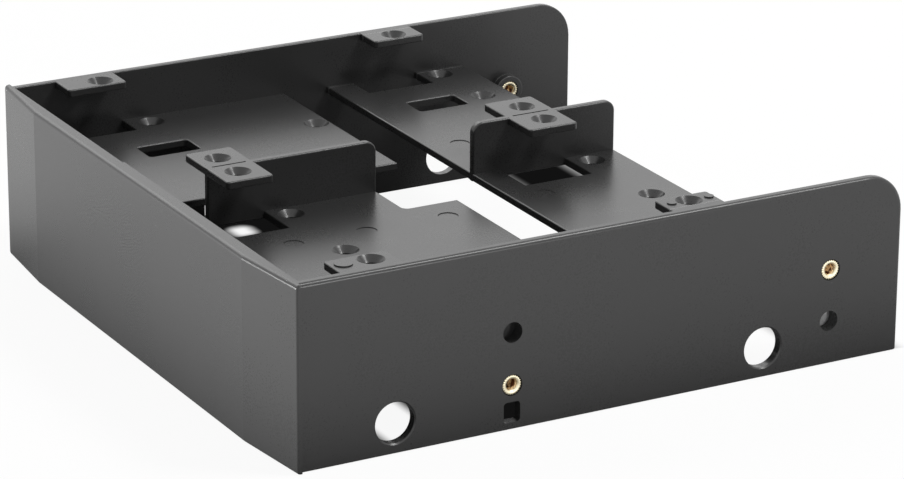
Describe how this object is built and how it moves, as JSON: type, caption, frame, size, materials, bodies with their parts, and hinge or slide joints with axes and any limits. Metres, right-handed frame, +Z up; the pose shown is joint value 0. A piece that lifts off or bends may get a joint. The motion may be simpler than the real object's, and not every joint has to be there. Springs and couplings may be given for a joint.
{
  "type": "drive bay adapter bracket",
  "caption": "Moulded drive bay adapter bracket: a blank faceted bezel, side walls with brass inserts, and a slotted deck with countersunk screw tabs that hold smaller drives.",
  "frame": {"origin": "middle of the overall width and depth, at the bottom", "axes": "+X to the right seen from the front, +Y from the bezel to the open rear, +Z up"},
  "size_m": [0.148, 0.1504, 0.0417],
  "materials": {
    "black_abs": "satin moulded black ABS",
    "insert_brass": "turned and knurled brass"
  },
  "bodies": {
    "root": {"bracket_body": "black_abs", "brass_insert_left_front": "insert_brass", "brass_insert_left_rear": "insert_brass", "brass_insert_right_front": "insert_brass", "brass_insert_right_rear": "insert_brass"}
  },
  "joints": []
}
